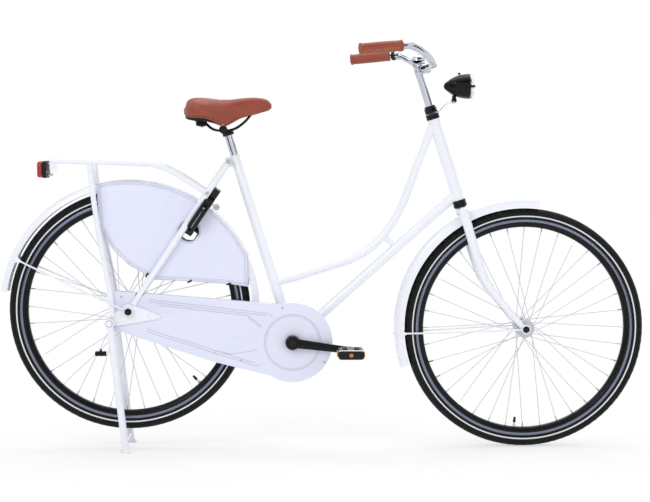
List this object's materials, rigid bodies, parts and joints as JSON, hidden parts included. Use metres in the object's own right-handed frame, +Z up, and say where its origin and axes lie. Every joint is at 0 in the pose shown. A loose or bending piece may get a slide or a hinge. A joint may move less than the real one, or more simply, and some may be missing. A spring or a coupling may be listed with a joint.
{
  "type": "dutch city bicycle",
  "caption": "Upright step-through city bicycle with full chaincase, dress guards, luggage rack, ring lock, lamps and a two-legged stand that folds.",
  "frame": {"origin": "bottom centre of the bounding box, on the floor that the stand and the front wheel stand on", "axes": "+X forwards, the way the bicycle rides; +Z up; -Y is the chain side, the rider's right"},
  "size_m": [1.9102, 0.6118, 1.1941],
  "materials": {
    "frame_paint": "gloss white enamel",
    "guard_panel": "satin white coated sheet",
    "chrome": "polished",
    "steel": "plain",
    "black_paint": "gloss black enamel",
    "black_plastic": "moulded",
    "tyre_rubber": "matt",
    "brown_leather": "satin",
    "lamp_glass": "clear",
    "red_lens": "translucent red"
  },
  "bodies": {
    "frame": {"head_tube": "frame_paint", "down_tube": "frame_paint", "top_tube": "frame_paint", "seat_tube": "frame_paint", "bottom_bracket_shell": "frame_paint", "seat_stay_right": "frame_paint", "seat_stay_left": "frame_paint", "chain_stay_right": "frame_paint", "chain_stay_left": "frame_paint", "upper_headset_cup": "black_paint", "lower_headset_cup": "black_paint", "seat_post_bolt": "steel", "rear_axle": "black_paint", "coaster_brake_arm": "steel", "rear_mudguard": "frame_paint", "rear_mudguard_stay": "black_paint", "rack_side_right": "frame_paint", "rack_side_left": "frame_paint", "rack_deck": "frame_paint", "tail_lamp_housing": "black_plastic", "tail_lamp_lens": "red_lens", "dress_guard_right": "guard_panel", "dress_guard_left": "guard_panel", "chaincase_outer": "guard_panel", "chaincase_inner": "guard_panel", "chain": "steel", "lock_housing": "black_plastic"},
    "saddle": {"seat_post": "chrome", "saddle_clamp": "black_paint", "saddle_rails": "steel", "saddle_base": "black_plastic", "saddle_cover": "brown_leather"},
    "lock_shackle": {"lock_shackle": "steel"},
    "lock_key": {"lock_key": "steel"},
    "crank": {"bottom_bracket_axle": "steel", "chainring": "steel", "crank_right": "black_paint", "crank_left": "black_paint"},
    "rear_sprocket": {"rear_sprocket": "steel"},
    "pedal_right": {"pedal_right": "black_plastic"},
    "pedal_left": {"pedal_left": "black_plastic"},
    "rear_wheel": {"rear_hub": "steel", "rear_rim": "black_paint", "rear_tyre": "tyre_rubber"},
    "fork": {"fork": "frame_paint", "front_axle": "black_paint", "stem": "chrome", "handlebar": "chrome", "grip_right": "brown_leather", "grip_left": "brown_leather", "bell": "chrome", "front_mudguard": "frame_paint", "front_mudguard_stay": "black_paint", "headlamp_bracket": "black_paint", "headlamp_shell": "black_paint", "headlamp_lens": "lamp_glass"},
    "front_wheel": {"front_hub": "steel", "front_rim": "black_paint", "front_tyre": "tyre_rubber"},
    "kickstand": {"kickstand": "frame_paint"}
  },
  "joints": [
    {"name": "steering", "type": "hinge", "parent": "frame", "child": "fork", "pos_m": [0.52951, 0, 0.33523], "axis": [-0.3024, 0, 0.9532], "range_deg": [-60, 60]},
    {"name": "front_wheel_spin", "type": "hinge", "parent": "fork", "child": "front_wheel", "pos_m": [0.59814, 0, 0.357], "axis": [0, 1, 0], "continuous": true},
    {"name": "rear_wheel_spin", "type": "hinge", "parent": "frame", "child": "rear_wheel", "pos_m": [-0.57486, 0, 0.414], "axis": [0, 1, 0], "continuous": true},
    {"name": "crank_spin", "type": "hinge", "parent": "frame", "child": "crank", "pos_m": [-0.09313, 0, 0.321], "axis": [0, 1, 0], "continuous": true},
    {"name": "sprocket_spin", "type": "hinge", "parent": "frame", "child": "rear_sprocket", "pos_m": [-0.57486, -0.047, 0.414], "axis": [0, 1, 0], "continuous": true},
    {"name": "pedal_right_spin", "type": "hinge", "parent": "crank", "child": "pedal_right", "pos_m": [0.07537, -0.136, 0.29852], "axis": [0, 1, 0], "continuous": true},
    {"name": "pedal_left_spin", "type": "hinge", "parent": "crank", "child": "pedal_left", "pos_m": [-0.26164, 0.136, 0.34348], "axis": [0, 1, 0], "continuous": true},
    {"name": "kickstand_fold", "type": "hinge", "parent": "frame", "child": "kickstand", "pos_m": [-0.62786, 0, 0.382], "axis": [0, 1, 0], "range_deg": [0, 95]},
    {"name": "lock_shackle_turn", "type": "hinge", "parent": "frame", "child": "lock_shackle", "pos_m": [-0.36688, 0, 0.69477], "axis": [0.8316, 0, -0.5554], "range_deg": [0, 62], "stiffness_Nm_per_rad": 0.1, "springref_deg": -34.38},
    {"name": "lock_key_turn", "type": "hinge", "parent": "frame", "child": "lock_key", "pos_m": [-0.32964, -0.03844, 0.72801], "axis": [0.8316, 0, -0.5554], "range_deg": [0, 90]},
    {"name": "saddle_height", "type": "slide", "parent": "frame", "child": "saddle", "axis": [-0.294, 0, 0.9558], "range_m": [-0.02, 0.1]}
  ],
  "couplings": [
    {"joint": "sprocket_spin", "follows": "crank_spin", "ratio": 2}
  ]
}
